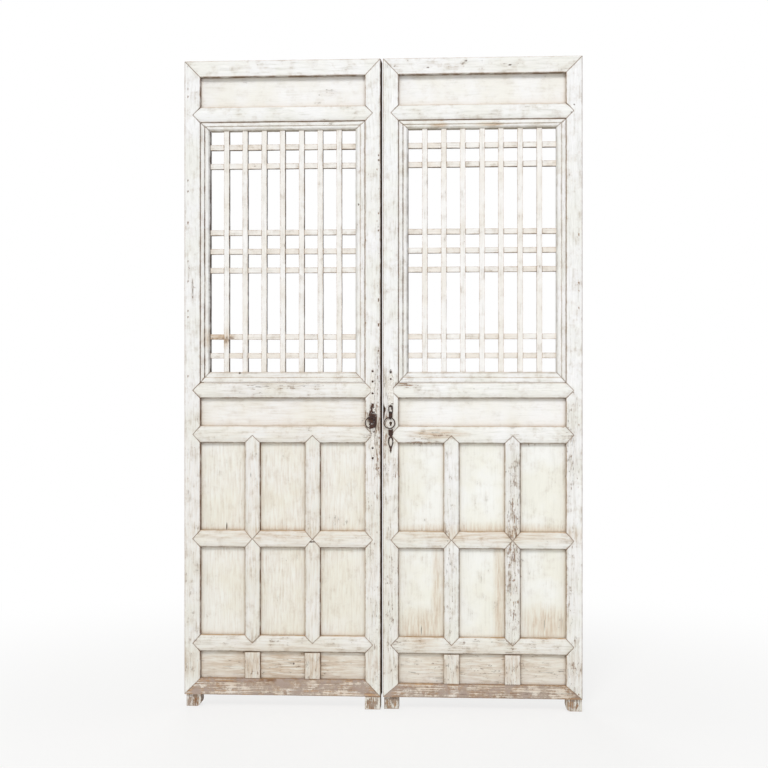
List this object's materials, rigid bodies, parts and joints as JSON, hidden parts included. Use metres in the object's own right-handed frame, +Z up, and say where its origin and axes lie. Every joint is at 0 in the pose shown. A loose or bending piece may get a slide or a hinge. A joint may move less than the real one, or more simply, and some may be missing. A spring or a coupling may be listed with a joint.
{
  "type": "lattice and panel double door leaves",
  "caption": "Pair of tall timber door leaves: square lattice light above, V-shouldered rails and muntins with sunk panels below, iron ring pulls.",
  "frame": {"origin": "on the floor line under the feet, midway between the two leaves and in the middle of their thickness", "axes": "+Z up, +X towards the right leaf as seen from the front, the decorated front faces -Y"},
  "size_m": [1.277, 0.0763, 2.084],
  "materials": {
    "painted_wood": "worn white lime paint over softwood",
    "bare_wood": "white paint worn through to dry bare wood",
    "wrought_iron": "forged, dark and partly painted over"
  },
  "bodies": {
    "left_leaf": {"left_apron_muntins": "painted_wood", "left_apron_panel": "painted_wood", "left_apron_rail": "painted_wood", "left_bottom_rail": "bare_wood", "left_cross_rails": "painted_wood", "left_frieze_panel": "painted_wood", "left_frieze_rail": "painted_wood", "left_inner_muntin": "painted_wood", "left_lattice_crossbars": "painted_wood", "left_lattice_head": "painted_wood", "left_lattice_inner_stile": "painted_wood", "left_lattice_outer_stile": "painted_wood", "left_lattice_sill": "painted_wood", "left_lattice_uprights": "painted_wood", "left_lock_panel": "painted_wood", "left_lower_lock_rail": "painted_wood", "left_lower_panels": "painted_wood", "left_meeting_stile": "painted_wood", "left_outer_muntin": "painted_wood", "left_outer_stile": "painted_wood", "left_pull_eye": "wrought_iron", "left_pull_nails": "wrought_iron", "left_pull_plate": "wrought_iron", "left_top_rail": "painted_wood", "left_upper_lock_rail": "painted_wood", "left_upper_panels": "painted_wood"},
    "right_leaf": {"right_apron_muntins": "painted_wood", "right_apron_panel": "painted_wood", "right_apron_rail": "painted_wood", "right_bottom_rail": "bare_wood", "right_cross_rails": "painted_wood", "right_frieze_panel": "painted_wood", "right_frieze_rail": "painted_wood", "right_inner_muntin": "painted_wood", "right_lattice_crossbars": "painted_wood", "right_lattice_head": "painted_wood", "right_lattice_inner_stile": "painted_wood", "right_lattice_outer_stile": "painted_wood", "right_lattice_sill": "painted_wood", "right_lattice_uprights": "painted_wood", "right_lock_panel": "painted_wood", "right_lower_lock_rail": "painted_wood", "right_lower_panels": "painted_wood", "right_meeting_stile": "painted_wood", "right_outer_muntin": "painted_wood", "right_outer_stile": "painted_wood", "right_pull_bail": "wrought_iron", "right_pull_eye": "wrought_iron", "right_pull_loop": "wrought_iron", "right_pull_nails": "wrought_iron", "right_pull_plate": "wrought_iron", "right_top_rail": "painted_wood", "right_upper_lock_rail": "painted_wood", "right_upper_panels": "painted_wood"},
    "left_ring": {"left_pull_ring": "wrought_iron"},
    "right_ring": {"right_pull_ring": "wrought_iron"}
  },
  "joints": [
    {"name": "right_leaf_swing", "type": "hinge", "parent": "left_leaf", "child": "right_leaf", "pos_m": [0.6385, 0.03, 0], "axis": [0, 0, -1], "range_deg": [0, 100]},
    {"name": "left_ring_swing", "type": "hinge", "parent": "left_leaf", "child": "left_ring", "pos_m": [-0.029, -0.0397, 0.9342], "axis": [-0.9455, 0, 0.3256], "range_deg": [-7, 175]},
    {"name": "right_ring_swing", "type": "hinge", "parent": "right_leaf", "child": "right_ring", "pos_m": [0.029, -0.0397, 0.9342], "axis": [-0.9781, 0, 0.2079], "range_deg": [-7, 175]}
  ]
}
